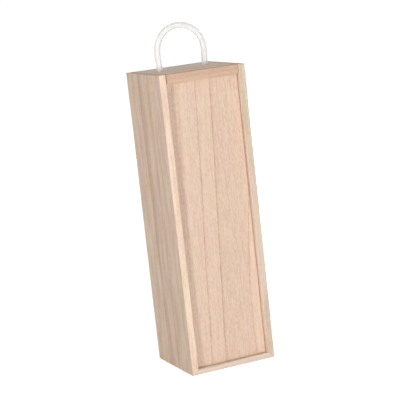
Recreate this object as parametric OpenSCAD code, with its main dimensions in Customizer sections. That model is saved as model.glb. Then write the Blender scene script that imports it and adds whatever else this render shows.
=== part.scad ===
// Upright wooden box for one bottle: a mitred, grooved case, a lid that slides
// up and out at the top, and a cord loop to carry it by.
// The front, with the lid, faces -Y. The origin is at the middle of the base.

/* [Case] */
// Width over the two sides
case_w = 107; // [95:1:150]
// Depth from the front edges to the back
case_d = 100; // [85:1:150]
// Height over all, without the cord
case_h = 350; // [200:5:450]
// Thickness of each side board
side_t = 8; // [6.5:0.5:11]
// Thickness of the bottom board
base_t = 7; // [5.5:0.5:12]
// Thickness of the top board
top_t = 8; // [6:0.5:14]
// Thickness of the back board
back_t = 5; // [3:0.5:8]
// How far the back board is let into each side board
side_rebate = 4; // [3:0.5:5]
// How far the back board is let into the bottom board
base_rebate = 3.5; // [2.5:0.5:4]
// Small chamfer along the long edges of every board
ease = 0.5; // [0.2:0.1:1]

/* [Lid] */
// Thickness of the lid panel
lid_t = 3; // [2.5:0.5:6]
// Thickness of the lips in front of the lid
lip_d = 5; // [3:0.5:8]
// Depth of the groove in each side board
side_groove = 4; // [2.5:0.5:5]
// Depth of the groove in the bottom board
base_groove = 3.5; // [2:0.5:4]
// Gap between the lips and the face of the lid
face_gap = 1.3; // [0.3:0.1:1.6]
// Running gap behind the lid and under its lower end
slide_gap = 0.3; // [0.2:0.1:0.6]
// Gap between each edge of the lid and the floor of its groove
edge_gap = 0.4; // [0.3:0.1:1]
// Corners cut off the lid's lower end, which lead it into the grooves
lid_lead = 1.5; // [0.5:0.5:3]
// Height of the rail across the lid's top end
rail_h = 11; // [10:1:24]
// Gap between each end of the rail and the lip beside it
rail_gap = 0.7; // [0.5:0.1:2]

/* [Handle] */
// Diameter of the cord
cord_dia = 7; // [5:0.5:8]
// Clearance round the cord in its holes, and between its knots and the top board
hole_gap = 0.3; // [0.2:0.1:0.6]
// Chamfer at the mouths of the cord holes
hole_ease = 0.8; // [0.3:0.1:1.5]
// Gap under the loop's feet, which lets the loop lean over
foot_gap = 0.3; // [0.2:0.1:0.6]
// Diameter of the strand that is wound round the cord in each knot
wrap_dia = 6.4; // [4.5:0.1:7]
// Turns of the strand in each knot
wrap_turns = 2; // [1:1:3]
// Length of cord that hangs out below each knot
tail_len = 7; // [3:1:20]

/* [Pins] */
// Diameter of a brad's shank
pin_dia = 1.2; // [0.8:0.1:1.6]
// Diameter of a brad's head
pin_head_dia = 2; // [1.8:0.1:2.6]
// Thickness of a brad's head
pin_head_t = 0.5; // [0.3:0.1:1]
// Clearance round each brad in its hole
pin_gap = 0.05; // [0.02:0.01:0.1]
// Length of the brads in the corners
corner_pin_len = 22; // [18:1:28]
// Length of the brads in the back
back_pin_len = 18; // [15:1:30]
// How far the brads in the rail stop short of the rail's face
rail_pin_cover = 1.8; // [1:0.1:3]
// Distance of the corner brads from the front and back edges of the top board
corner_pin_in = 18; // [12:1:25]
// Distance of the first and last back brads from the ends of the box
back_pin_in = 32; // [20:1:60]
// Number of back brads up each side
back_pin_rows = 4; // [2:1:8]
// Distance between the two brads at each end of the back, and in the rail
end_pin_pitch = 44; // [20:2:60]

/* [Hidden] */
$fn = 64;

side_wood = "#c8b19c";
top_wood = "#b1a296";
lid_wood = "#ebccb8";
rail_wood = "#d9b99e";
lip_wood = "#dfc7af";
cord_white = "#f1edea";
pin_steel = "#a9a6a2";

// Planes of the case, from front to back
front_y = -case_d / 2;
rear_y = case_d / 2;
slot_y0 = front_y + lip_d;
lid_y0 = slot_y0 + face_gap;
lid_y1 = lid_y0 + lid_t;
slot_y1 = lid_y1 + slide_gap;
back_y0 = rear_y - back_t;

// Planes of the case, from the middle outwards and from the base up
outer_x = case_w / 2;
inner_x = outer_x - side_t;
slot_x = inner_x + side_groove;
slot_z = base_t - base_groove;
top_z0 = case_h - top_t;

lid_x = slot_x - edge_gap;
lid_z0 = slot_z + slide_gap;
rail_x = inner_x - rail_gap;
back_x = inner_x + side_rebate;
back_z0 = base_t - base_rebate;

// The cord: its route is one loop over the top board, as [x, height over the middle of a foot]
cord_r = cord_dia / 2;
hole_r = cord_r + hole_gap;
cord_y = (slot_y1 + rear_y) / 2;
route = [
    [-28.8, 0], [-29.2, 5], [-29.6, 11], [-29.6, 17], [-28.9, 23.5], [-27, 29.5], [-23.6, 35.2],
    [-19, 40], [-13.2, 43.6], [-6.8, 45.7], [0, 46.2], [6.8, 45.3], [13, 43], [18.6, 39.4],
    [23.2, 34.6], [26.6, 29], [28.6, 23], [29.4, 17], [29.4, 11], [29.1, 5], [28.8, 0]
];
hole_x = -route[0][0];
foot_z = case_h + cord_r + foot_gap;
cord_sides = 12;
foot_angles = [20, 50];

// Each turn of a knot is pressed into the cord by part of its own radius, and into the next turn
wrap_r = wrap_dia / 2;
wrap_squeeze = 0.45;
turn_squeeze = 0.1;
wrap_at = cord_r + (1 - wrap_squeeze) * wrap_r;
wrap_step = (1 - turn_squeeze) * wrap_dia;
tail_z = hole_gap + wrap_dia + (wrap_turns - 1) * wrap_step + tail_len;

corner_pin_y = [slot_y1 + corner_pin_in, rear_y - corner_pin_in];
corner_pin_z = [base_t / 2, case_h - top_t / 2];
back_pin_x = inner_x + side_rebate / 2;
back_pin_z = [back_z0 + base_rebate / 2, case_h - top_t / 2];
back_pin_step = (case_h - 2 * back_pin_in) / (back_pin_rows - 1);
rail_pin_z = case_h - rail_h / 2;
rail_pin_len = lid_y1 - front_y - rail_pin_cover;
spare = 1;

// Outline of the right side board seen from above: groove, rebate and eased edges
side_plan = [
    [outer_x - ease, front_y], [outer_x, front_y + ease],
    [outer_x, rear_y - ease], [outer_x - ease, rear_y],
    [back_x, rear_y], [back_x, back_y0], [inner_x, back_y0],
    [inner_x, slot_y1], [slot_x, slot_y1], [slot_x, slot_y0], [inner_x, slot_y0],
    [inner_x, front_y + ease], [inner_x + ease, front_y]
];

// The same board seen from the front: mitred at the foot, eased at the top
side_front = [
    [outer_x, 0], [outer_x, case_h - ease], [outer_x - ease, case_h],
    [inner_x, case_h], [inner_x, base_t]
];

// The bottom board seen from the right, as [y, z]
base_section = [
    [front_y + ease, 0], [rear_y - ease, 0], [rear_y, ease],
    [rear_y, back_z0], [back_y0, back_z0], [back_y0, base_t],
    [slot_y1, base_t], [slot_y1, slot_z], [slot_y0, slot_z], [slot_y0, base_t],
    [front_y + ease, base_t], [front_y, base_t - ease], [front_y, ease]
];

// The bottom board seen from the front, mitred at both ends
base_front = [[-outer_x, 0], [outer_x, 0], [inner_x, base_t], [-inner_x, base_t]];

// The top board seen from the right, as [y, z]: it lies between the lid and the back board
top_section = [
    [slot_y1, top_z0], [back_y0, top_z0], [back_y0, case_h],
    [slot_y1 + ease, case_h], [slot_y1, case_h - ease]
];

// The back board seen from the right, as [y, z]: it runs up behind the top board
back_section = [
    [back_y0, back_z0], [rear_y, back_z0], [rear_y, case_h - ease],
    [rear_y - ease, case_h], [back_y0, case_h]
];

// The rail seen from the right, as [y, z]: both front edges are eased
rail_section = [
    [lid_y0, case_h], [front_y + ease, case_h], [front_y, case_h - ease],
    [front_y, case_h - rail_h + ease], [front_y + ease, case_h - rail_h], [lid_y0, case_h - rail_h]
];

// Extrudes an outline drawn as [x, z] through the whole depth
module through_depth() {
    rotate([90, 0, 0])
        linear_extrude(case_d + 2 * spare, center = true)
            children();
}

// Extrudes an outline drawn as [y, z] across a width
module across(width) {
    rotate([90, 0, 90])
        linear_extrude(width, center = true)
            children();
}

// A brad with its head's face at the origin, driven along -Z. For its hole, grow widens it
// and spare carries it out past the face it is driven into
module brad(length, grow = 0) {
    over = grow > 0 ? spare : 0;
    translate([0, 0, -length])
        cylinder(h = length, d = pin_dia + 2 * grow, $fn = 24);
    translate([0, 0, -pin_head_t])
        cylinder(h = pin_head_t + over, d = pin_head_dia + 2 * grow, $fn = 24);
}

// The corner brads of one side: sx is 1 for the right side and -1 for the left
module corner_brads(sx, grow = 0) {
    for (y = corner_pin_y, z = corner_pin_z)
        translate([sx * outer_x, y, z])
            rotate([0, sx * 90, 0])
                brad(corner_pin_len, grow);
}

// One brad driven into the back at [x, z]
module back_brad(x, z, grow = 0) {
    translate([x, rear_y, z])
        rotate([-90, 0, 0])
            brad(back_pin_len, grow);
}

module side_back_brads(sx, grow = 0) {
    for (row = [0 : back_pin_rows - 1])
        back_brad(sx * back_pin_x, back_pin_in + row * back_pin_step, grow);
}

module end_back_brads(z, grow = 0) {
    for (sx = [-1, 1])
        back_brad(sx * end_pin_pitch / 2, z, grow);
}

module rail_brads(grow = 0) {
    for (sx = [-1, 1])
        translate([sx * end_pin_pitch / 2, lid_y1, rail_pin_z])
            rotate([-90, 0, 0])
                brad(rail_pin_len, grow);
}

// The right side board; the left one is its mirror image
module side_board() {
    difference() {
        intersection() {
            linear_extrude(case_h)
                polygon(side_plan);
            through_depth()
                polygon(side_front);
        }
        corner_brads(1, pin_gap);
        side_back_brads(1, pin_gap);
    }
}

module left_side() {
    color(side_wood)
        mirror([1, 0, 0])
            side_board();
}

module right_side() {
    color(side_wood)
        side_board();
}

module bottom_board() {
    color(lip_wood)
        difference() {
            intersection() {
                across(case_w)
                    polygon(base_section);
                through_depth()
                    polygon(base_front);
            }
            for (sx = [-1, 1])
                corner_brads(sx, pin_gap);
            end_back_brads(back_pin_z[0], pin_gap);
        }
}

// A hole for the cord, with a chamfer at its mouth and its foot
module cord_hole(x) {
    translate([x, cord_y, top_z0])
        rotate_extrude()
            polygon([
                [0, -spare], [hole_r + hole_ease + spare, -spare], [hole_r, hole_ease],
                [hole_r, top_t - hole_ease], [hole_r + hole_ease + spare, top_t + spare], [0, top_t + spare]
            ]);
}

module top_board() {
    color(top_wood)
        difference() {
            across(2 * inner_x)
                polygon(top_section);
            for (sx = [-1, 1]) {
                cord_hole(sx * hole_x);
                corner_brads(sx, pin_gap);
            }
            end_back_brads(back_pin_z[1], pin_gap);
        }
}

module back_board() {
    color(side_wood)
        difference() {
            across(2 * back_x)
                polygon(back_section);
            for (sx = [-1, 1])
                side_back_brads(sx, pin_gap);
            for (z = back_pin_z)
                end_back_brads(z, pin_gap);
        }
}

module corner_pins() {
    color(pin_steel)
        for (sx = [-1, 1])
            corner_brads(sx);
}

module back_pins() {
    color(pin_steel) {
        for (sx = [-1, 1])
            side_back_brads(sx);
        for (z = back_pin_z)
            end_back_brads(z);
    }
}

module lid_panel() {
    color(lid_wood)
        difference() {
            translate([0, lid_y1, 0])
                rotate([90, 0, 0])
                    linear_extrude(lid_t)
                        polygon([
                            [-lid_x, lid_z0 + lid_lead], [-lid_x + lid_lead, lid_z0],
                            [lid_x - lid_lead, lid_z0], [lid_x, lid_z0 + lid_lead],
                            [lid_x, case_h], [-lid_x, case_h]
                        ]);
            rail_brads(pin_gap);
        }
}

module lid_rail() {
    color(rail_wood)
        difference() {
            across(2 * rail_x)
                polygon(rail_section);
            rail_brads(pin_gap);
        }
}

module rail_pins() {
    color(pin_steel)
        rail_brads();
}

// Rings of the loop as [x, z, radius]: each foot closes in a rounded end, so that it can turn
// just over the board, and every other ring is a full one on the route
function foot_ring(x, a) = [x, foot_z - cord_r * cos(a), cord_r * sin(a)];
rings = concat(
    [for (a = foot_angles) foot_ring(-hole_x, a)],
    [for (p = route) [p[0], foot_z + p[1], cord_r]],
    [for (i = [len(foot_angles) - 1 : -1 : 0]) foot_ring(hole_x, foot_angles[i])]
);
last = len(rings) - 1;

// Direction of the route at a ring, from the ring before it to the ring after it
function heading(i) =
    let (a = rings[max(i - 1, 0)], b = rings[min(i + 1, last)], d = [b[0] - a[0], b[1] - a[1]])
    d / norm(d);

// Points of one ring: round the route, in the plane across it
function ring_points(i) =
    let (c = rings[i], t = heading(i))
    [for (k = [0 : cord_sides - 1])
        let (a = 360 * k / cord_sides, out = c[2] * cos(a))
        [c[0] + t[1] * out, cord_y + c[2] * sin(a), c[1] - t[0] * out]];

module handle_cord() {
    color(cord_white)
        polyhedron(
            points = [for (i = [0 : last], p = ring_points(i)) p],
            faces = concat(
                [[for (k = [0 : cord_sides - 1]) k]],
                [for (i = [0 : last - 1], k = [0 : cord_sides - 1])
                    let (n = (k + 1) % cord_sides, a = i * cord_sides, b = a + cord_sides)
                    [a + k, b + k, b + n, a + n]],
                [[for (k = [cord_sides - 1 : -1 : 0]) last * cord_sides + k]]
            )
        );
}

// One end of the cord, seen as a revolved outline: the stretch in the hole, the turns of the
// knot that bears on the underside of the board, and the tail below it
module cord_end() {
    rotate_extrude() {
        translate([0, -tail_z])
            square([cord_r, top_t + tail_z]);
        for (turn = [0 : wrap_turns - 1])
            translate([wrap_at, -hole_gap - wrap_r - turn * wrap_step])
                circle(r = wrap_r);
    }
}

module cord_ends() {
    color(cord_white)
        for (sx = [-1, 1])
            translate([sx * hole_x, cord_y, top_z0])
                cord_end();
}

left_side();
right_side();
bottom_board();
top_board();
back_board();
corner_pins();
back_pins();
lid_panel();
lid_rail();
rail_pins();
handle_cord();
cord_ends();
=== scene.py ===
"""Looks of an upright wooden box for one bottle, with a lid that slides up and a cord loop.

Lengths are in metres unless a name ends in _mm. The front, with the lid, faces -Y, and the
middle of the base is the origin.
"""

import logging
import math
from collections.abc import Mapping
from dataclasses import dataclass
from enum import Enum

import bpy
import numpy as np
from mathutils import Matrix, Vector


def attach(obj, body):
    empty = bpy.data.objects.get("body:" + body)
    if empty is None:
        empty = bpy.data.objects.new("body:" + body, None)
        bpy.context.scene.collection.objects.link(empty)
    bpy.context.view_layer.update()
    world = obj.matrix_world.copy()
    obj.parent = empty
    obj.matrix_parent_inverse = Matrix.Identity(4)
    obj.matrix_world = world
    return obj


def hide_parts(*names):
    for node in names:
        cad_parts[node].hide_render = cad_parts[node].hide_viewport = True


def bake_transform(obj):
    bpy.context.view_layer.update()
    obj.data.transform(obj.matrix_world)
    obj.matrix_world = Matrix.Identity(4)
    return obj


log = logging.getLogger("bottle_box")
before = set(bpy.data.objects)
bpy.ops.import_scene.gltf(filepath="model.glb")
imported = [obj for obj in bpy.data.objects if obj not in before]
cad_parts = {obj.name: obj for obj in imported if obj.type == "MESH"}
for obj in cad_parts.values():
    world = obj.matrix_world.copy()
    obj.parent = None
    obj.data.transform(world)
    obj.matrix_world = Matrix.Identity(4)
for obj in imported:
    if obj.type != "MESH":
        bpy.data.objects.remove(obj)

Triple = tuple[float, float, float]


def tint(red: float, green: float, blue: float) -> Triple:
    """Turns a colour written as display values into the linear values that shaders take.

    Each channel, as a share of 255, goes through the display's own curve: a straight line
    near black and a power of 2.4 above it.

    Args:
        red: Red, from 0 to 255.
        green: Green, from 0 to 255.
        blue: Blue, from 0 to 255.

    Returns:
        The three linear channels.
    """
    shares = (channel / 255 for channel in (red, green, blue))
    return tuple(s / 12.92 if s <= 0.04045 else ((s + 0.055) / 1.055) ** 2.4 for s in shares)


# ---------------------------------------------------------------------------
# Shader expressions
# ---------------------------------------------------------------------------


@dataclass(frozen=True)
class Field:
    """A value that changes over a surface: one output socket, with arithmetic on it.

    A number field adds Math nodes to its recipe, and a vector field adds Vector Math nodes.
    """

    recipe: "Recipe"
    socket: bpy.types.NodeSocket

    def _join(self, operation: str, *terms: "Field | float | Triple") -> "Field":
        """Adds one Math or Vector Math node.

        Args:
            operation: The node's operation.
            *terms: What it works on, in their order.

        Returns:
            The node's result.
        """
        vector = self.socket.type == "VECTOR"
        kind = "ShaderNodeVectorMath" if vector else "ShaderNodeMath"
        return self.recipe.field(kind, {"operation": operation}, dict(enumerate(terms)))

    def __add__(self, other: "Field | float | Triple") -> "Field":
        """Sum."""
        return self._join("ADD", self, other)

    def __radd__(self, other: "Field | float | Triple") -> "Field":
        """Sum, with the field on the right."""
        return self._join("ADD", other, self)

    def __sub__(self, other: "Field | float | Triple") -> "Field":
        """Difference."""
        return self._join("SUBTRACT", self, other)

    def __rsub__(self, other: "Field | float | Triple") -> "Field":
        """Difference, with the field on the right."""
        return self._join("SUBTRACT", other, self)

    def __mul__(self, other: "Field | float | Triple") -> "Field":
        """Product, channel by channel for vectors."""
        return self._join("MULTIPLY", self, other)

    def __rmul__(self, other: "Field | float | Triple") -> "Field":
        """Product, with the field on the right."""
        return self._join("MULTIPLY", other, self)

    def __abs__(self) -> "Field":
        """The field without its sign."""
        return self._join("ABSOLUTE", self)

    def floor(self) -> "Field":
        """The whole number below the field."""
        return self._join("FLOOR", self)

    def fraction(self) -> "Field":
        """What the field has above its whole number."""
        return self._join("FRACT", self)

    def cosine(self) -> "Field":
        """The cosine of the field, in radians."""
        return self._join("COSINE", self)

    def larger(self, other: "Field | float") -> "Field":
        """The larger of the field and another value."""
        return self._join("MAXIMUM", self, other)

    def root(self) -> "Field":
        """The square root of the field."""
        return self._join("SQRT", self)

    def fading(self, reach: float) -> "Field":
        """1 where the field is 0, falling to 1/e where it equals reach."""
        share = self * (-1.0 / reach)
        return share._join("EXPONENT", share)

    def dot(self, direction: Triple) -> "Field":
        """How far a vector field reaches along a direction."""
        settings, inputs = {"operation": "DOT_PRODUCT"}, {0: self, 1: direction}
        return self.recipe.field("ShaderNodeVectorMath", settings, inputs, "Value")

    def between(self, low: float, high: float) -> "Field":
        """0 below low, 1 above high and a smooth step between them."""
        settings = {"interpolation_type": "SMOOTHSTEP"}
        return self.recipe.field("ShaderNodeMapRange", settings, {0: self, 1: low, 2: high})


class Recipe:
    """The node tree of a material or of the world, filled by expressions."""

    def __init__(self, owner: bpy.types.Material | bpy.types.World) -> None:
        """Starts an empty tree.

        Args:
            owner: The material or the world that the tree belongs to.
        """
        self.owner = owner
        owner.use_nodes = True
        self.tree = owner.node_tree
        self.tree.nodes.clear()

    @classmethod
    def named(cls, name: str) -> "Recipe":
        """The recipe of a new material with this name."""
        return cls(bpy.data.materials.new(name))

    def node(
        self,
        kind: str,
        settings: Mapping[str, object] | None = None,
        inputs: Mapping[int | str, "Field | float | Triple"] | None = None,
    ) -> bpy.types.Node:
        """Adds any node.

        Args:
            kind: The node's type.
            settings: What is set on the node itself, before its sockets are filled.
            inputs: The value or the link of each socket, by its name or its number.

        Returns:
            The new node.
        """
        made = self.tree.nodes.new(kind)
        for key, value in (settings or {}).items():
            setattr(made, key, value)
        for key, value in (inputs or {}).items():
            socket = made.inputs[key]
            if isinstance(value, Field):
                self.tree.links.new(value.socket, socket)
            elif socket.type == "RGBA" and len(value) == 3:
                socket.default_value = (*value, 1.0)
            else:
                socket.default_value = value
        return made

    def field(
        self,
        kind: str,
        settings: Mapping[str, object] | None = None,
        inputs: Mapping[int | str, "Field | float | Triple"] | None = None,
        output: int | str = 0,
    ) -> Field:
        """Adds any node and returns one of its outputs.

        Args:
            kind: The node's type.
            settings: What is set on the node itself.
            inputs: The value or the link of each socket.
            output: The name or the number of the output.

        Returns:
            The output as a field.
        """
        return Field(self, self.node(kind, settings, inputs).outputs[output])

    def place_mm(self) -> Field:
        """The point of the surface in the object's own frame, in millimetres."""
        return self.field("ShaderNodeTexCoord", output="Object") * (1000.0, 1000.0, 1000.0)

    def facing(self) -> Field:
        """The direction that the surface faces, in the object's own frame."""
        return self.field("ShaderNodeTexCoord", output="Normal")

    def join(self, x: Field, y: Field, z: Field) -> Field:
        """A vector field from three number fields."""
        return self.field("ShaderNodeCombineXYZ", {}, {0: x, 1: y, 2: z})

    def grain_noise(self, place: Field, size: Triple, detail: float = 1.0) -> Field:
        """Soft noise from 0 to 1, with its own size along each axis.

        Args:
            place: The point, in millimetres.
            size: The size of a blot along each axis, in millimetres.
            detail: How many finer layers are added.

        Returns:
            The noise.
        """
        scaled = place * tuple(1.0 / s for s in size)
        inputs = {"Vector": scaled, "Scale": 1.0, "Detail": detail, "Roughness": 0.5}
        return self.field("ShaderNodeTexNoise", {}, inputs)

    def mix(self, base: "Field | Triple", over: "Field | Triple", share: "Field | float") -> Field:
        """Blends two colours.

        Args:
            base: The colour where the share is 0.
            over: The colour where the share is 1.
            share: How much of the second colour shows.

        Returns:
            The blended colour.
        """
        settings = {"data_type": "RGBA", "clamp_factor": True}
        return self.field("ShaderNodeMix", settings, {0: share, 6: base, 7: over}, 2)

    def tinted(self, base: Field, over: Triple, share: "Field | float") -> Field:
        """The base colour, multiplied by another where the share is 1."""
        settings = {"data_type": "RGBA", "blend_type": "MULTIPLY", "clamp_factor": True}
        return self.field("ShaderNodeMix", settings, {0: share, 6: base, 7: over}, 2)

    def finish(
        self,
        colour: Field,
        roughness: "Field | float",
        height: Field | None,
        relief: float,
        fixed: Mapping[str, object] | None = None,
    ) -> bpy.types.Material:
        """Closes a material's tree with one surface shader.

        Args:
            colour: The surface's colour.
            roughness: The surface's roughness.
            height: The relief that a Bump node shows, from 0 to 1.
            relief: What a height of 1 is in metres.
            fixed: Values of the shader's own sockets that are the same all over.

        Returns:
            The material.
        """
        inputs = {"Base Color": colour, "Roughness": roughness, **(fixed or {})}
        if height is not None:
            bump = {"Strength": 1.0, "Distance": relief, "Height": height}
            inputs["Normal"] = self.field("ShaderNodeBump", {}, bump)
        surface = self.field("ShaderNodeBsdfPrincipled", {}, inputs)
        self.node("ShaderNodeOutputMaterial", {}, {"Surface": surface})
        return self.owner


# ---------------------------------------------------------------------------
# Finishes
# ---------------------------------------------------------------------------


NOISE_GAIN = 4.0  # Soft noise seldom strays more than a quarter from its middle.
SEED_STEP_MM = (17.3, 5.1, 41.7)  # How far one step of a seed moves a board's noise.


class Fibre(Enum):
    """The direction in which a board's fibres run."""

    UPRIGHT = (0.0, 0.0, 1.0)
    SIDEWAYS = (1.0, 0.0, 0.0)


@dataclass(frozen=True)
class Ring:
    """One growth ring's edge, where a row of open pores begins.

    The weight is how strongly the row shows, and the shade how much the wood past it is
    darker (below 0, lighter). Where the saw ran out through a ring, its edge bows away
    from a height on both sides.
    """

    place_mm: float
    weight: float = 1.0
    shade: float = 1.0
    bow: float = 0.0
    bow_at_mm: float = 0.0
    bow_round_mm: float = 18.0

    def passed(self, across: Field, along: Field) -> Field:
        """How far a point lies past the ring's edge.

        The edge is a straight line, or a hyperbola: its place moves by the bow times the
        root of the squares of the distance along the board and of the round's size.

        Args:
            across: The point's place across the rings, in millimetres.
            along: The point's place along the fibres, in millimetres.

        Returns:
            The distance, in millimetres.
        """
        if not self.bow:
            return across - self.place_mm
        away = along - self.bow_at_mm
        return across - self.place_mm - (away * away + self.bow_round_mm**2).root() * self.bow


@dataclass(frozen=True)
class PaintedGlint:
    """Painted glint: a cooler tone that stands for light from behind grazing a face.

    It begins and is full at two places across the rings, and its colour multiplies the wood's.
    """

    begins_mm: float
    full_mm: float
    colour: Triple


@dataclass(frozen=True)
class Fleck:
    """One layer of noise in a board: the size of its blots, and the noise that makes 0 and 1.

    The size is counted across the rings, along them and along the fibres.
    """

    size_mm: Triple
    low: float = 0.30
    high: float = 0.70
    detail: float = 1.0

    def spread(self, recipe: Recipe, grain: Field) -> Field:
        """The layer at a point in grain directions, from 0 to 1."""
        return recipe.grain_noise(grain, self.size_mm, self.detail).between(self.low, self.high)


@dataclass(frozen=True)
class Paulownia:
    """Planed, unvarnished paulownia: pale and straight, with wide rings of open pores.

    The wood is solid: rings, pores and fibres are worked out at each point inside the board,
    so that a face, an edge and an end of one board agree. What ends in _depth says how far its
    layer takes the colour from pale to dark, and the two tints multiply the faces at the ends
    of the fibres and the faces to the front.
    """

    name: str
    fibre: Fibre
    pale: Triple
    rings: tuple[Ring, ...]
    dark: Triple = tint(168, 119, 80)
    ring_face: Triple = (1.0, 0.0, 0.0)
    lean: float = 0.0
    wander_mm: float = 1.6
    line_depth: float = 0.42
    line_mm: float = 1.1
    even: float = 0.6
    band_depth: float = 0.10
    band_mm: float = 8.0
    mottle: float = 0.16
    streak: float = 0.20
    streak_mm: tuple[float, float] = (3.2, 110.0)
    blush: float = 0.5
    seed: float = 0.0
    front_tint: Triple = (1.0, 1.0, 1.0)
    end_tint: Triple = (0.86, 0.80, 0.75)
    facing_from: float = 0.55
    facing_full: float = 0.9
    # Painted glint over the back of a face, if any.
    painted_glint: PaintedGlint | None = None
    olive: Triple = (1.0, 1.008, 0.956)
    pink: Triple = (1.0, 0.968, 0.984)
    dashes: Fleck = Fleck((1.4, 1.4, 5.5), 0.38, 0.60)
    pores: Fleck = Fleck((0.55, 0.55, 5.0), 0.56, 0.68)
    blots: Fleck = Fleck((1.2, 1.2, 4.5))
    threads: Fleck = Fleck((0.7, 0.7, 40.0), detail=2.0)
    patches: Fleck = Fleck((16.0, 16.0, 80.0), 0.40, 0.62)
    wander_size_mm: Triple = (55.0, 55.0, 150.0)
    jitter_size_mm: Triple = (1.6, 1.6, 9.0)
    jitter_mm: float = 1.2
    edge_mm: float = 0.25
    pore_reach_mm: float = 3.2
    pores_anywhere: float = 0.30
    pores_near_edge: float = 0.3
    ground_depth: float = 0.12
    pore_depth: float = 0.26
    thread_depth: float = 0.14
    rough: float = 0.60
    rough_pores: float = 0.25
    rough_threads: float = 0.10
    skin: float = 0.6
    pore_sink: float = 0.5
    thread_rise: float = 0.3
    row_sink: float = 0.15
    relief: float = 0.00010
    gloss: float = 0.30

    def grain_place(self, recipe: Recipe) -> Field:
        """Turns the point of the surface into the board's grain directions.

        Args:
            recipe: The material's tree.

        Returns:
            The point as (across the rings, along the rings, along the fibres), in millimetres.
        """
        fibre = Vector(self.fibre.value)
        across = Vector(self.ring_face).normalized()
        beside = fibre.cross(across).normalized()
        place = recipe.place_mm()
        return recipe.join(*(place.dot(tuple(v)) for v in (across, beside, fibre)))

    def growth(self, recipe: Recipe, grain: Field, shifted: Field) -> tuple[Field, Field, Field]:
        """Works out what the rings do at a point.

        The distance past each ring's edge sets a dark row of pores that starts sharply and
        fades over line_mm, a shade that fades over band_mm, and how thickly the open pores
        lie.

        Args:
            recipe: The material's tree.
            grain: The point in grain directions.
            shifted: The same point, moved by the seed, for noise.

        Returns:
            The rows of pores, the shade and the nearness of the last edge, each from 0 to 1.
        """
        wander = recipe.grain_noise(shifted, self.wander_size_mm) - 0.5
        jitter = recipe.grain_noise(shifted, self.jitter_size_mm) - 0.5
        at = grain.dot((1.0, 0.0, self.lean)) + wander * (NOISE_GAIN * self.wander_mm)
        at = at + jitter * self.jitter_mm
        along = grain.dot((0.0, 0.0, 1.0))
        lines, shades, nears = [], [], []
        for ring in self.rings:
            past = ring.passed(at, along)
            begun, past = past.between(-self.edge_mm, self.edge_mm), past.larger(0.0)
            lines.append(begun * past.fading(self.line_mm) * ring.weight)
            shades.append(begun * past.fading(self.band_mm) * ring.shade)
            nears.append(begun * past.fading(self.pore_reach_mm) * ring.weight)
        return sum(lines), sum(shades), sum(nears)

    def make(self) -> bpy.types.Material:
        """Builds the material.

        The rows of pores, the shades, the open pores and three layers of flecks add up to how
        dark the wood is. Wide patches then lean to olive and to pink.

        Returns:
            The material.
        """
        recipe = Recipe.named(self.name)
        grain = self.grain_place(recipe)
        shifted = grain + tuple(self.seed * step for step in SEED_STEP_MM)
        line, shade, near = self.growth(recipe, grain, shifted)

        dashes = self.dashes.spread(recipe, shifted)
        pores = self.pores.spread(recipe, shifted)
        blots = self.blots.spread(recipe, shifted) - 0.5
        threads = self.threads.spread(recipe, shifted) - 0.5
        wide, tall = self.streak_mm
        streaks = Fleck((wide, wide, tall), detail=2.0).spread(recipe, shifted) - 0.5

        rows = line * (dashes * (1.0 - self.even) + self.even)
        open_pores = pores * (near * self.pores_near_edge + self.pores_anywhere)
        dark = rows * self.line_depth + shade * self.band_depth
        dark = dark + open_pores * self.pore_depth + self.ground_depth
        dark = dark + blots * self.mottle + threads * self.thread_depth + streaks * self.streak
        colour = recipe.mix(self.pale, self.dark, dark.larger(0.0))
        patches = self.patches.spread(recipe, shifted)
        olive = recipe.tinted(colour, self.olive, self.blush)
        pink = recipe.tinted(colour, self.pink, self.blush)
        colour = recipe.mix(olive, pink, patches)
        # Painted glint: over the back of the face the colour is cooled, standing for light from
        # behind grazing it.
        if self.painted_glint:
            across_rings = grain.dot((1.0, 0.0, self.lean))
            share = across_rings.between(self.painted_glint.begins_mm, self.painted_glint.full_mm)
            colour = recipe.tinted(colour, self.painted_glint.colour, share)

        facing = recipe.facing()
        ends = abs(facing.dot(self.fibre.value)).between(self.facing_from, self.facing_full)
        colour = recipe.tinted(colour, self.end_tint, ends)
        front = facing.dot((0.0, -1.0, 0.0)).between(self.facing_from, self.facing_full)
        colour = recipe.tinted(colour, self.front_tint, front)

        roughness = self.rough + open_pores * self.rough_pores + threads * self.rough_threads
        height = self.skin - open_pores * self.pore_sink + threads * self.thread_rise
        height = height - rows * self.row_sink
        fixed = {"Specular IOR Level": self.gloss}
        return recipe.finish(colour, roughness, height, self.relief, fixed)


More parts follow.
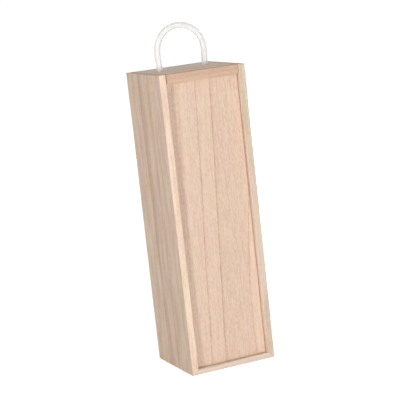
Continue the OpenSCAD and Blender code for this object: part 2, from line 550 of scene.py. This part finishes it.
@dataclass(frozen=True)
class CottonCord:
    """Bleached cotton cord: a fine plait of round strands, soft and matt.

    The first number of the UV map counts cells of the plait along the cord, and the second
    counts them round it.
    """

    name: str = "white_cotton_cord"
    white: Triple = tint(242, 240, 236)
    # Painted shade: the colour that the clefts between strands take.
    crease_shade: Triple = tint(237, 234, 230)
    soiled: Triple = (0.995, 0.99, 0.98)
    yarns: int = 4
    cleft_from: float = 0.55
    # How far the clefts and the troughs between yarns are painted towards that shade.
    cleft_shade: float = 0.30
    yarn_shade: float = 0.06
    fuzz_mm: float = 0.35
    soil_mm: float = 9.0
    strand_rise: float = 0.6
    yarn_rise: float = 0.25
    fuzz_rise: float = 0.3
    relief: float = 0.00004
    rough: float = 0.9
    light_reach: float = 0.009

    def make(self) -> bpy.types.Material:
        """Builds the material.

        A strand's middle is light, and the clefts between strands and the troughs between its
        yarns are darker: painted shade, over the relief. Fine yarns run along each strand, as a
        wave across it. Half the sum of the two cell numbers is whole where one family of strands
        lies on top, and ends in a half where the other does.

        Returns:
            The material.
        """
        recipe = Recipe.named(self.name)
        cells = recipe.field("ShaderNodeUVMap", {"uv_map": "plait"})
        rising = cells.dot((1.0, 1.0, 0.0))
        falling = cells.dot((-1.0, 1.0, 0.0))
        first = abs(rising.fraction() * 2.0 - 1.0)
        second = abs(falling.fraction() * 2.0 - 1.0)
        upper = ((rising.floor() + falling.floor()) * 0.5).fraction().between(0.2, 0.3)
        across = upper * second + (1.0 - upper) * first
        yarns = (upper * falling + (1.0 - upper) * rising) * (2.0 * math.pi * self.yarns)
        yarn = yarns.cosine() * 0.5 + 0.5
        cleft = across.between(self.cleft_from, 1.0)
        place = recipe.place_mm()
        fuzz = recipe.grain_noise(place, (self.fuzz_mm,) * 3, 2.0)
        soil = recipe.grain_noise(place, (self.soil_mm,) * 3).between(0.4, 0.8)
        # Painted shade: the clefts and the troughs between yarns are darkened in colour.
        crease_shade = cleft * self.cleft_shade + (1.0 - yarn) * self.yarn_shade
        colour = recipe.mix(self.white, self.crease_shade, crease_shade)
        colour = recipe.tinted(colour, self.soiled, soil)
        height = (1.0 - cleft) * self.strand_rise + yarn * self.yarn_rise + fuzz * self.fuzz_rise
        fixed = {
            "Specular IOR Level": 0.0, "Sheen Weight": 1.0, "Sheen Roughness": 1.0,
            "Subsurface Weight": 1.0, "Subsurface Radius": (1.0, 1.0, 1.0),
            "Subsurface Scale": self.light_reach,
        }  # fmt: skip
        return recipe.finish(colour, self.rough, height, self.relief, fixed)


@dataclass(frozen=True)
class PlainSteel:
    """Bright drawn wire, as thin brads are made of, slightly dulled."""

    name: str = "plain_steel"
    bright: Triple = tint(196, 193, 188)
    dull: Triple = tint(150, 143, 134)
    blot_mm: float = 0.5
    rough: float = 0.32
    rough_dull: float = 0.25
    relief: float = 0.00002

    def make(self) -> bpy.types.Material:
        """Builds the material: small blots turn the bright metal dull and rougher.

        Returns:
            The material.
        """
        recipe = Recipe.named(self.name)
        blots = recipe.grain_noise(recipe.place_mm(), (self.blot_mm,) * 3, 3.0).between(0.4, 0.7)
        colour = recipe.mix(self.bright, self.dull, blots)
        roughness = self.rough + blots * self.rough_dull
        return recipe.finish(colour, roughness, blots, self.relief, {"Metallic": 1.0})


# ---------------------------------------------------------------------------
# Surfaces worked out with arrays
# ---------------------------------------------------------------------------


STEPS_PER_POINT = 40  # How finely a smooth line is worked out before it is cut.
STRAND_DIP = 0.35  # How far a strand dips where it dives, as a share of its height.


def smooth_line(points: np.ndarray, spacing: float) -> np.ndarray:
    """Carries one smooth line through some points.

    Between two points the line is a cubic whose slope at each point is that of the chord
    from the point before to the point after. The line is then cut into equal lengths.

    Args:
        points: The points, one row each.
        spacing: About how far apart the new points lie.

    Returns:
        The new points, one row each.
    """
    chord = np.linalg.norm(np.diff(points, axis=0), axis=1)
    at = np.concatenate([[0.0], np.cumsum(chord)])
    slope = np.gradient(points, at, axis=0)
    t = np.linspace(0.0, at[-1], STEPS_PER_POINT * len(points))
    i = np.clip(np.searchsorted(at, t, side="right") - 1, 0, len(chord) - 1)
    h = chord[i][:, None]
    s = ((t - at[i]) / chord[i])[:, None]
    line = (
        (2 * s**3 - 3 * s**2 + 1) * points[i]
        + (s**3 - 2 * s**2 + s) * h * slope[i]
        + (3 * s**2 - 2 * s**3) * points[i + 1]
        + (s**3 - s**2) * h * slope[i + 1]
    )
    run = np.concatenate([[0.0], np.cumsum(np.linalg.norm(np.diff(line, axis=0), axis=1))])
    even = np.linspace(0.0, run[-1], max(4, round(run[-1] / spacing)))
    return np.stack([np.interp(even, run, line[:, k]) for k in range(3)], axis=1)


def plait_height(along: np.ndarray, around: np.ndarray) -> np.ndarray:
    """The relief of a plait, from 0 in its clefts to 1 on its strands.

    Two families of strands wind in opposite directions and take turns to lie on top, as the
    squares of a chessboard. A strand's section is a parabola, and it dips where it dives.

    Args:
        along: Cells of the plait, counted along the cord.
        around: Cells of the plait, counted round it.

    Returns:
        The relief at each point.
    """
    rising, falling = around + along, around - along
    first = (2 * (rising % 1) - 1) ** 2
    second = (2 * (falling % 1) - 1) ** 2
    upper = (np.floor(rising) + np.floor(falling)) % 2 > 0.5
    across, ahead = np.where(upper, second, first), np.where(upper, first, second)
    return (1 - across) * (1 - STRAND_DIP * ahead)


def add_object(name: str, data: bpy.types.ID) -> bpy.types.Object:
    """Puts a new object into the scene.

    Args:
        name: The object's name.
        data: Its mesh, lamp or camera.

    Returns:
        The object.
    """
    made = bpy.data.objects.new(name, data)
    bpy.context.scene.collection.objects.link(made)
    return made


@dataclass
class RopeSurface:
    """A plaited cord's skin along a line, as a grid of points."""

    line: np.ndarray
    radius: np.ndarray
    reference: Triple
    around: int = 64
    strands: int = 8
    cell: float = 0.0026
    relief: float = 0.00009

    def grid(self) -> np.ndarray:
        """Works out the skin.

        Each ring lies in the plane across the line, and its first axis is the part of the
        reference direction that is square to the line. The plait's relief lies inside the
        radius.

        Returns:
            The points, as rings by places round the ring by three.
        """
        ahead = np.gradient(self.line, axis=0)
        ahead /= np.linalg.norm(ahead, axis=1)[:, None]
        side = np.array(self.reference) - (ahead @ np.array(self.reference))[:, None] * ahead
        side /= np.linalg.norm(side, axis=1)[:, None]
        other = np.cross(ahead, side)
        along, around = self.cells()
        height = plait_height(along[:, None], around[None, :-1])
        share = np.clip(self.radius / self.radius.max(), 0.0, 1.0)[:, None]
        reach = self.radius[:, None] - self.relief * share * (1 - height)
        turn = 2 * math.pi * np.arange(self.around) / self.around
        out = (
            np.cos(turn)[None, :, None] * side[:, None, :]
            + np.sin(turn)[None, :, None] * other[:, None, :]
        )
        return self.line[:, None, :] + reach[:, :, None] * out

    def cells(self) -> tuple[np.ndarray, np.ndarray]:
        """Counts the cells of the plait.

        Returns:
            How many lie before each ring, and before each place round it.
        """
        steps = np.linalg.norm(np.diff(self.line, axis=0), axis=1)
        along = np.concatenate([[0.0], np.cumsum(steps)]) / self.cell
        return along, np.arange(self.around + 1) / self.around * self.strands

    def build(self, name: str) -> bpy.types.Object:
        """Makes the closed mesh, with the plait's cells as its UV map.

        Args:
            name: The piece's name.

        Returns:
            The object, at the origin, with its place in its mesh.
        """
        grid = self.grid()
        rings, around = grid.shape[:2]
        i, j = np.meshgrid(np.arange(rings - 1), np.arange(around), indexing="ij")
        following = (j + 1) % around
        quads = np.stack(
            [
                i * around + j,
                i * around + following,
                (i + 1) * around + following,
                (i + 1) * around + j,
            ],
            axis=-1,
        ).reshape(-1, 4)
        along, round_it = self.cells()
        u = np.stack([along[i], along[i], along[i + 1], along[i + 1]], axis=-1)
        v = np.stack([round_it[j], round_it[j + 1], round_it[j + 1], round_it[j]], axis=-1)
        corner_uv = np.stack([u, v], axis=-1).reshape(-1, 2)
        first, last = np.arange(around)[::-1], np.arange(around) + (rings - 1) * around
        cap_uv = np.concatenate(
            [
                np.stack([np.full(around, along[0]), round_it[:-1][::-1]], axis=1),
                np.stack([np.full(around, along[-1]), round_it[:-1]], axis=1),
            ]
        )
        faces = [*quads.tolist(), first.tolist(), last.tolist()]
        mesh = bpy.data.meshes.new(name)
        mesh.from_pydata(grid.reshape(-1, 3).tolist(), [], faces)
        uv = mesh.uv_layers.new(name="plait")
        uv.data.foreach_set("uv", np.concatenate([corner_uv, cap_uv]).astype(np.float32).ravel())
        mesh.polygons.foreach_set("use_smooth", np.ones(len(mesh.polygons), bool))
        mesh.update()
        return add_object(name, mesh)


def dress(made: bpy.types.Object, material: bpy.types.Material) -> None:
    """Gives a piece one material.

    Args:
        made: The piece.
        material: Its material.
    """
    made.data.materials.clear()
    made.data.materials.append(material)


def joined(base: bpy.types.Object, other: bpy.types.Object) -> bpy.types.Object:
    """Moves the second mesh into the first object.

    Args:
        base: The object that stays.
        other: The object whose mesh it takes.

    Returns:
        The first object.
    """
    with bpy.context.temp_override(active_object=base, selected_editable_objects=[base, other]):
        bpy.ops.object.join()
    return base


# ---------------------------------------------------------------------------
# Sub-assemblies
# ---------------------------------------------------------------------------


@dataclass
class CarryLoop:
    """The cord loop over the top board, and the knots that hold its two ends under it."""

    cord_y: float = 0.0048
    board_top: float = 0.350
    board_under: float = 0.342
    foot_z: float = 0.3538
    radius: float = 0.0035
    knot_reach: float = 0.0030
    route_mm: tuple[tuple[float, float], ...] = (
        (-28.8, 0.0), (-29.2, 5.0), (-29.6, 11.0), (-29.6, 17.0), (-28.9, 23.5), (-27.0, 29.5),
        (-23.6, 35.2), (-19.0, 40.0), (-13.2, 43.6), (-6.8, 45.7), (0.0, 46.2), (6.8, 45.3),
        (13.0, 43.0), (18.6, 39.4), (23.2, 34.6), (26.6, 29.0), (28.6, 23.0), (29.4, 17.0),
        (29.4, 11.0), (29.1, 5.0), (28.8, 0.0),
    )  # fmt: skip
    spacing: float = 0.0004
    bend_height: float = 0.012

    def hole_x(self) -> float:
        """How far each hole lies from the middle."""
        return -self.route_mm[0][0] / 1000

    def centreline(self) -> np.ndarray:
        """Works out the line of the cord.

        Returns:
            Its points, from inside one knot up over the loop and down to the other.
        """
        route = np.array(self.route_mm) / 1000
        over = np.stack(
            [route[:, 0], np.full(len(route), self.cord_y), route[:, 1] + self.foot_z], axis=1
        )
        rises = np.array([self.board_under - self.knot_reach, self.board_under, self.board_top])
        down = np.stack([np.full(3, self.hole_x()), np.full(3, self.cord_y), rises], axis=1)
        left = down * (-1.0, 1.0, 1.0)
        return smooth_line(np.concatenate([left, over, down[::-1]]), self.spacing)

    def build(self) -> list[bpy.types.Object]:
        """Makes the loop and both knots, hides the model's parts that they stand for, and puts the
        knots on the case.

        Returns:
            The pieces.
        """
        line = self.centreline()
        skin = RopeSurface(line, np.full(len(line), self.radius), (0.0, 1.0, 0.0))
        loop = skin.build("cord_loop")
        knots = [StopperKnot(side, self).build() for side in (-1, 1)]
        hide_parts("handle_cord")
        for knot in knots:
            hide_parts("cord_ends")
            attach(knot, "case")
        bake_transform(loop)
        return [loop, *knots]

    def dress(self, pieces: list[bpy.types.Object]) -> None:
        """Gives the loop and the knots the cord's finish.

        Args:
            pieces: The loop and the knots.
        """
        material = CottonCord().make()
        for piece in pieces:
            dress(piece, material)


@dataclass
class StopperKnot:
    """A knot that bears on the underside of the top board, with its short tail."""

    side: int
    loop: CarryLoop
    wrap_radius: float = 0.0032
    wrap_at: float = 0.00526
    wrap_around: int = 48
    wrap_steps: int = 260
    turns: float = 1.6
    pitch: float = 0.0052
    start_angle: float = math.pi / 4
    tuck_turn: float = 0.25
    tuck_radius: float = 0.0018
    gap: float = 0.0003
    tail_from: float = 0.0004
    tail_reach: float = 0.0192
    tail_steps: int = 60
    tail_slimmer: float = 0.97
    sway_from: float = 0.012
    sway_rate: float = 2.2
    sway_power: float = 1.5
    sway_back: float = 0.6
    tip_length: float = 0.0022
    tip_least: float = 0.003

    def core_line(self) -> np.ndarray:
        """Works out the cord that runs down through the turns and hangs out as the tail.

        Below the turns it sways inwards and back by a power of the further drop.

        Returns:
            The points of its line.
        """
        drop = np.linspace(self.tail_from, self.tail_reach, self.tail_steps)
        sway = np.clip(drop - self.sway_from, 0.0, None) ** self.sway_power * self.sway_rate
        x = self.side * self.loop.hole_x() - self.side * sway
        y = self.loop.cord_y + self.sway_back * sway
        return np.stack([x, y, self.loop.board_under - drop], axis=1)

    def wrap_line(self) -> np.ndarray:
        """Works out the cord that winds round the core.

        It is a screw of the given turns and pitch, whose radius closes towards the core over
        the first and the last part of a turn, so that both ends are tucked in.

        Returns:
            The points of its line.
        """
        turn = np.linspace(-self.tuck_turn, self.turns + self.tuck_turn, self.wrap_steps)
        tuck = np.clip(np.maximum(-turn, turn - self.turns) / self.tuck_turn, 0.0, 1.0)
        reach = self.wrap_at - (self.wrap_at - self.tuck_radius) * tuck**2 * (3 - 2 * tuck)
        fall = self.gap + self.wrap_radius + self.pitch * np.clip(turn, 0.0, self.turns)
        angle = self.side * 2 * math.pi * turn + self.start_angle
        x = self.side * self.loop.hole_x() + reach * np.cos(angle)
        y = self.loop.cord_y + reach * np.sin(angle)
        return np.stack([x, y, self.loop.board_under - fall], axis=1)

    def build(self) -> bpy.types.Object:
        """Makes the knot's two stretches of cord as one piece.

        The tail's end is rounded: over its last millimetres the radius follows a quarter of
        an ellipse.

        Returns:
            The knot.
        """
        core = self.core_line()
        left = (core[:, 2] - core[-1, 2]) / self.tip_length
        swell = np.sqrt(np.clip(1 - (1 - np.clip(left, 0.0, 1.0)) ** 2, self.tip_least, 1.0))
        name = "stopper_knot_left" if self.side < 0 else "stopper_knot_right"
        slim = self.loop.radius * self.tail_slimmer * swell
        tail = RopeSurface(core, slim, (0.0, 1.0, 0.0)).build(name)
        wrap = self.wrap_line()
        radius = np.full(len(wrap), self.wrap_radius)
        skin = RopeSurface(wrap, radius, (0.0, 0.0, 1.0), around=self.wrap_around)
        return joined(tail, skin.build(name + "_turns"))


@dataclass
class Case:
    """The mitred case: two sides, bottom, top and back, held by brads."""

    side_pale: Triple = tint(235, 212, 193)
    back_pale: Triple = tint(230, 206, 187)
    top_pale: Triple = tint(237, 210, 189)
    base_pale: Triple = tint(232, 207, 186)

    def finishes(self) -> dict[str, Paulownia]:
        """Chooses the boards' finishes.

        Returns:
            The finish of each board, by its node's name.
        """
        upright, sideways = Fibre.UPRIGHT, Fibre.SIDEWAYS
        return {
            "left_side": Paulownia(
                "left_side_wood", upright, self.side_pale,
                (
                    Ring(-52.0, 0.2, 0.2), Ring(-25.2, 0.8, 1.0), Ring(-0.5, 0.25, 0.5),
                    Ring(26.5, 0.4, 0.0),
                ),
                # The front tint here is painted light: it brightens the faces to the front, the
                # left lip, beyond what the lamps give.
                ring_face=(0.22, -1.0, 0.0), lean=0.006, wander_mm=0.8, line_depth=0.14,
                band_depth=0.25, band_mm=10.0, mottle=0.14, streak=0.22, streak_mm=(7.0, 55.0),
                blush=0.9, seed=1.0, front_tint=(1.07, 1.08, 1.06),
            ),
            "right_side": Paulownia(
                "right_side_wood", upright, self.side_pale,
                (Ring(-31.0, 0.7), Ring(-8.0, 0.9), Ring(19.0, 0.5), Ring(41.0, 0.8)),
                ring_face=(-0.3, 1.0, 0.0), lean=-0.012, line_depth=0.40, band_depth=0.20,
                band_mm=9.0, streak=0.26, seed=2.0, front_tint=(0.885, 0.935, 0.935),
            ),
            "bottom_board": Paulownia(
                "bottom_wood", sideways, self.base_pale,
                (Ring(-41.5, 0.6), Ring(-24.0, 0.8), Ring(-4.0, 1.0), Ring(21.0, 0.7), Ring(38.0)),
                ring_face=(0.0, 0.9, 0.45), lean=0.012, line_depth=0.4, seed=3.0,
                front_tint=(0.97, 1.08, 1.20),
            ),
            "top_board": Paulownia(
                # Painted light: past Ring(141.0) the top face grows lighter towards its back, and
                # the painted glint cools it there. The ring's faint row of pores is grain.
                "top_wood", sideways, self.top_pale, (Ring(141.0, 0.2, -1.0),),
                ring_face=(0.0, 1.0, 0.4), lean=-0.02, line_depth=0.4, band_depth=0.15,
                band_mm=40.0, seed=4.0, gloss=0.6,
                painted_glint=PaintedGlint(118.0, 150.0, (0.93, 1.06, 1.19)),
            ),
            "back_board": Paulownia(
                "back_wood", upright, self.back_pale,
                (Ring(-43.0, 0.5), Ring(-21.0, 0.9), Ring(4.0, 1.0), Ring(26.0, 0.6), Ring(47.0)),
                ring_face=(1.0, 0.3, 0.0), lean=0.03, line_depth=0.5, seed=5.0,
            ),
        }  # fmt: skip

    def dress(self) -> None:
        """Gives each board and the brads their finish."""
        for node, finish in self.finishes().items():
            dress(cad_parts[node], finish.make())
            log.info("%s: %s", node, finish.name)
        steel = PlainSteel().make()
        for node in ("corner_pins", "back_pins"):
            dress(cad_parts[node], steel)


@dataclass
class SlidingLid:
    """The lid panel with the rail across its top end."""

    lid_pale: Triple = tint(228, 203, 184)
    rail_pale: Triple = tint(213, 182, 160)

    def dress(self) -> None:
        """Gives the panel, the rail and its brads their finish."""
        panel = Paulownia(
            "lid_wood", Fibre.UPRIGHT, self.lid_pale,
            (
                # Ring(-53.5) carries no row of pores. Past it the strip beside the left lip is
                # darkened and warmed: painted shade where the lip's shadow falls.
                Ring(-53.5, 0.0, 1.4), Ring(-44.5, 0.0, -1.8), Ring(-25.8, 1.1, -0.8),
                Ring(-7.4, 1.0, 1.0), Ring(27.6, 1.3, -2.6, bow=0.065, bow_at_mm=88.0),
            ),
            lean=-0.0510, wander_mm=0.8, line_depth=0.54, even=0.75, band_depth=0.06,
            band_mm=15.0, mottle=0.20, streak=0.14, streak_mm=(2.2, 22.0), seed=6.0,
        )  # fmt: skip
        rail = Paulownia(
            "rail_wood", Fibre.SIDEWAYS, self.rail_pale,
            (Ring(335.0, 0.5), Ring(341.5, 0.6), Ring(346.5, 0.5)),
            ring_face=(0.0, 0.25, 1.0), lean=0.012, wander_mm=0.6, line_depth=0.25, seed=7.0,
        )  # fmt: skip
        dress(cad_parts["lid_panel"], panel.make())
        dress(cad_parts["lid_rail"], rail.make())
        dress(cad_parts["rail_pins"], PlainSteel("rail_steel").make())
        log.info("lid panel and rail dressed")


# ---------------------------------------------------------------------------
# Studio
# ---------------------------------------------------------------------------


@dataclass(frozen=True)
class Softbox:
    """A soft lamp that stands round the box and looks at it. Its angles are in degrees."""

    name: str
    azimuth: float
    elevation: float
    distance: float
    width: float
    height: float
    level: float

    def build(self, aim: Vector) -> bpy.types.Object:
        """Makes the lamp, turned to the box.

        Its power is set so that a white surface square to it renders at the level given.

        Args:
            aim: The point that it looks at.

        Returns:
            The lamp.
        """
        data = bpy.data.lights.new(self.name, "AREA")
        data.shape = "RECTANGLE"
        data.size, data.size_y = self.width, self.height
        data.energy = self.level * math.pi**2 * self.distance**2
        made = add_object(self.name, data)
        back = from_angles(self.azimuth, self.elevation)
        made.location = aim + back * self.distance
        made.rotation_euler = (-back).to_track_quat("-Z", "Y").to_euler()
        made.visible_camera = False
        made.visible_glossy = False
        return made


def from_angles(azimuth: float, elevation: float) -> Vector:
    """The direction from the box to a place round it, in degrees; azimuth 0 is in front."""
    a, e = math.radians(azimuth), math.radians(elevation)
    return Vector((math.sin(a) * math.cos(e), -math.cos(a) * math.cos(e), math.sin(e)))


@dataclass
class Studio:
    """The camera, the lamps, the pale floor and the white surround."""

    azimuth: float = -23.511
    elevation: float = 9.940
    roll: float = -6.292
    distance: float = 1.6876
    lens: float = 128.577
    sensor: float = 36.0
    clip: tuple[float, float] = (0.05, 60.0)
    aim: Triple = (0.001379, 0.0, 0.193307)
    lamp_aim: Triple = (0.0, 0.0, 0.2)
    surround: float = 0.12
    floor_reach: float = 80.0
    floor_colour: Triple = (0.86, 0.86, 0.86)
    lift_near: float = 0.68
    lift_far: float = 0.95
    lift_between: tuple[float, float] = (0.3, 3.0)
    lamps: tuple[Softbox, ...] = (
        Softbox("front_lamp", 6.0, 0.0, 2.6, 0.5, 0.36, 0.50),
        Softbox("left_lamp", -59.0, 3.0, 1.6, 0.26, 1.6, 0.80),
        Softbox("top_lamp", 60.0, 84.0, 2.4, 1.6, 1.6, 0.16),
        Softbox("back_lamp", 125.0, 10.0, 2.6, 1.8, 1.8, 0.55),
    )

    def build_camera(self) -> None:
        """Makes the camera: it looks at the aim from its place, and leans by its roll."""
        data = bpy.data.cameras.new("camera")
        data.sensor_fit, data.sensor_width, data.lens = "HORIZONTAL", self.sensor, self.lens
        data.clip_start, data.clip_end = self.clip
        made = add_object("camera", data)
        back = from_angles(self.azimuth, self.elevation)
        level = (-back).cross(Vector((0.0, 0.0, 1.0))).normalized()
        upright = level.cross(-back)
        c, s = math.cos(math.radians(self.roll)), math.sin(math.radians(self.roll))
        right, up = c * level + s * upright, c * upright - s * level
        turned = Matrix((right, up, back)).transposed().to_4x4()
        made.matrix_world = Matrix.Translation(Vector(self.aim) + back * self.distance) @ turned
        bpy.context.scene.camera = made

    def build_lamps(self) -> None:
        """Makes the lamps."""
        for lamp in self.lamps:
            lamp.build(Vector(self.lamp_aim))

    def build_floor(self) -> None:
        """Makes the floor: it takes shadows, and seen straight it is lifted to white.

        The lift grows with the distance from the box.
        """
        mesh = bpy.data.meshes.new("floor")
        near, far = -self.floor_reach, self.floor_reach
        square = [(near, near, 0.0), (far, near, 0.0), (far, far, 0.0), (near, far, 0.0)]
        mesh.from_pydata(square, [], [(0, 1, 2, 3)])
        made = add_object("floor", mesh)
        recipe = Recipe.named("floor_white")
        matt = recipe.field("ShaderNodeBsdfDiffuse", {}, {"Color": self.floor_colour})
        place = recipe.field("ShaderNodeTexCoord", output="Object")
        away = recipe.field("ShaderNodeVectorMath", {"operation": "LENGTH"}, {0: place}, "Value")
        lift = away.between(*self.lift_between) * (self.lift_far - self.lift_near) + self.lift_near
        glow = recipe.field("ShaderNodeEmission", {}, {"Strength": seen(recipe) * lift})
        both = recipe.field("ShaderNodeAddShader", {}, {0: matt, 1: glow})
        recipe.node("ShaderNodeOutputMaterial", {}, {"Surface": both})
        dress(made, recipe.owner)

    def build_surround(self) -> None:
        """Makes the world: an even soft light, which seen straight is white."""
        recipe = Recipe(bpy.data.worlds.new("surround"))
        bpy.context.scene.world = recipe.owner
        strength = seen(recipe) * (1.0 - self.surround) + self.surround
        inputs = {"Color": (1.0, 1.0, 1.0), "Strength": strength}
        sky = recipe.field("ShaderNodeBackground", {}, inputs)
        recipe.node("ShaderNodeOutputWorld", {}, {"Surface": sky})

    def build(self) -> None:
        """Makes the lamps, the floor and the surround, with plain view settings."""
        self.build_lamps()
        self.build_floor()
        self.build_surround()
        bpy.context.scene.view_settings.view_transform = "Standard"


def seen(recipe: Recipe) -> Field:
    """Tells what the camera sees straight, in a mirror or through glass.

    Args:
        recipe: The tree that asks.

    Returns:
        1 there and 0 elsewhere.
    """
    path = recipe.node("ShaderNodeLightPath")
    camera, glossy, clear = (
        Field(recipe, path.outputs[name])
        for name in ("Is Camera Ray", "Is Glossy Ray", "Is Transmission Ray")
    )
    return camera.larger(glossy).larger(clear)


def main() -> None:
    """Builds the scene in order: camera, cord, boards, lid and studio."""
    logging.basicConfig(level=logging.INFO, format="%(name)s: %(message)s")
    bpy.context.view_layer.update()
    studio = Studio()
    studio.build_camera()
    loop = CarryLoop()
    loop.dress(loop.build())
    Case().dress()
    SlidingLid().dress()
    studio.build()
    bpy.context.view_layer.update()
    log.info("done")


if __name__ == "__main__":
    main()
